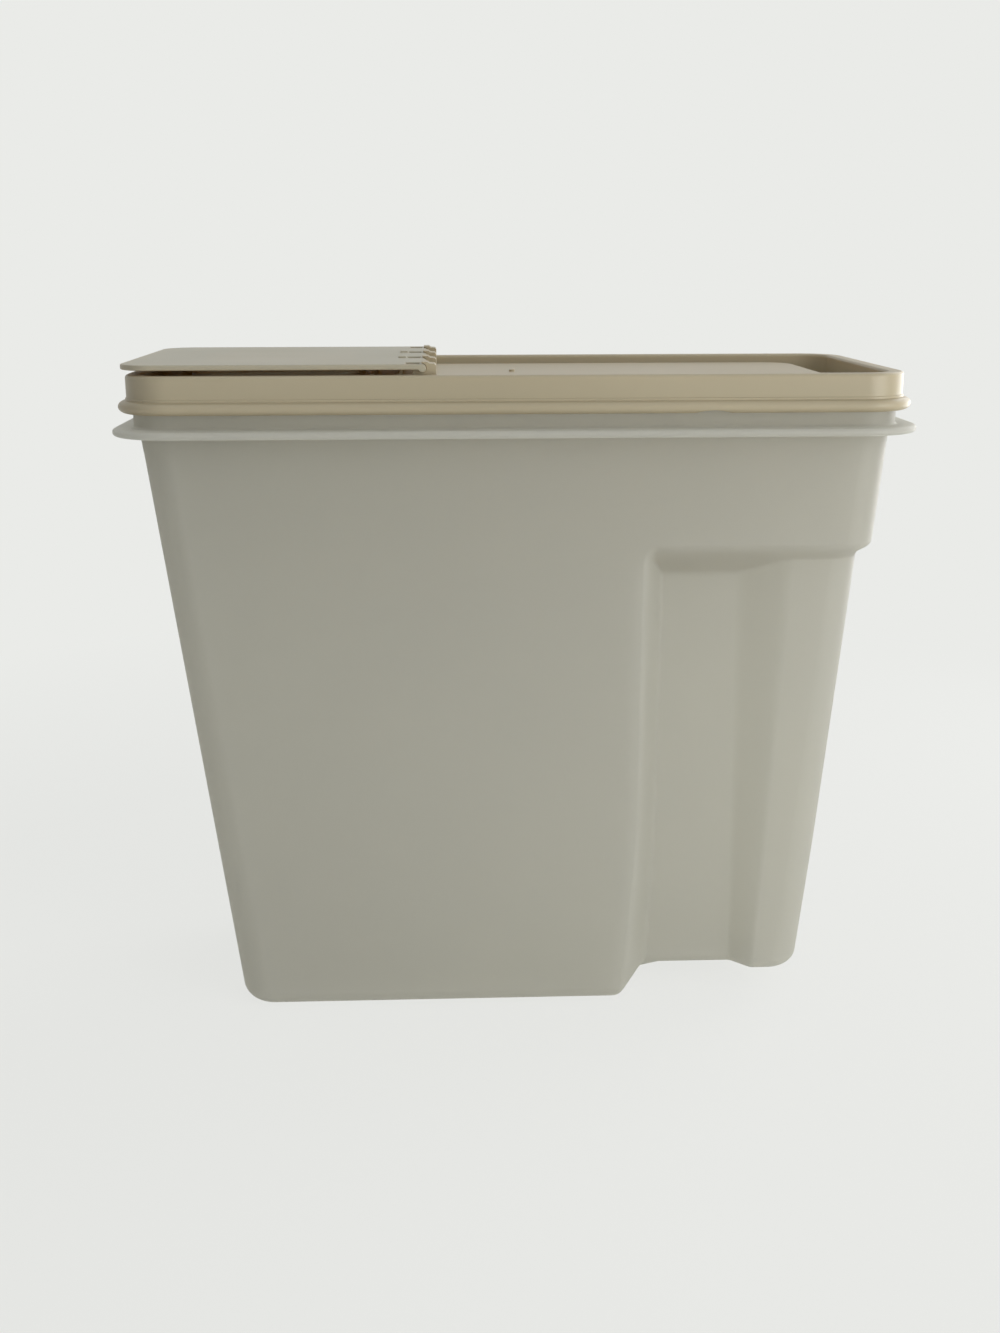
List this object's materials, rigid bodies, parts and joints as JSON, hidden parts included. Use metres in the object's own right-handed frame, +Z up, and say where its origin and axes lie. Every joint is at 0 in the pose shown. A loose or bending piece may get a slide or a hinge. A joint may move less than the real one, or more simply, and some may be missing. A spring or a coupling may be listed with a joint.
{
  "type": "cereal container with flip cap",
  "caption": "Tall tapered translucent cereal container with a hand grip, a press-on lid and a hinged flip cap over the pour opening.",
  "frame": {"origin": "on the floor the container stands on, under the centre of its flange", "axes": "+X from the pour end to the grip end, +Y to the back, +Z up"},
  "size_m": [0.285, 0.1266, 0.2474],
  "materials": {
    "sheer_body": "sheer milky polyethylene, satin",
    "almond_lid": "almond polyethylene, satin",
    "almond_cap": "almond polyethylene, satin"
  },
  "bodies": {
    "container": {"container": "sheer_body"},
    "lid": {"lid": "almond_lid"},
    "flip_cap": {"flip_cap": "almond_cap"}
  },
  "joints": [
    {"name": "lid_lift", "type": "slide", "parent": "container", "child": "lid", "axis": [0, 0, 1], "range_m": [0, 0.06]},
    {"name": "cap_hinge", "type": "hinge", "parent": "lid", "child": "flip_cap", "pos_m": [-0.0335, 0, 0.2453], "axis": [0, 1, 0], "range_deg": [0, 180]}
  ]
}
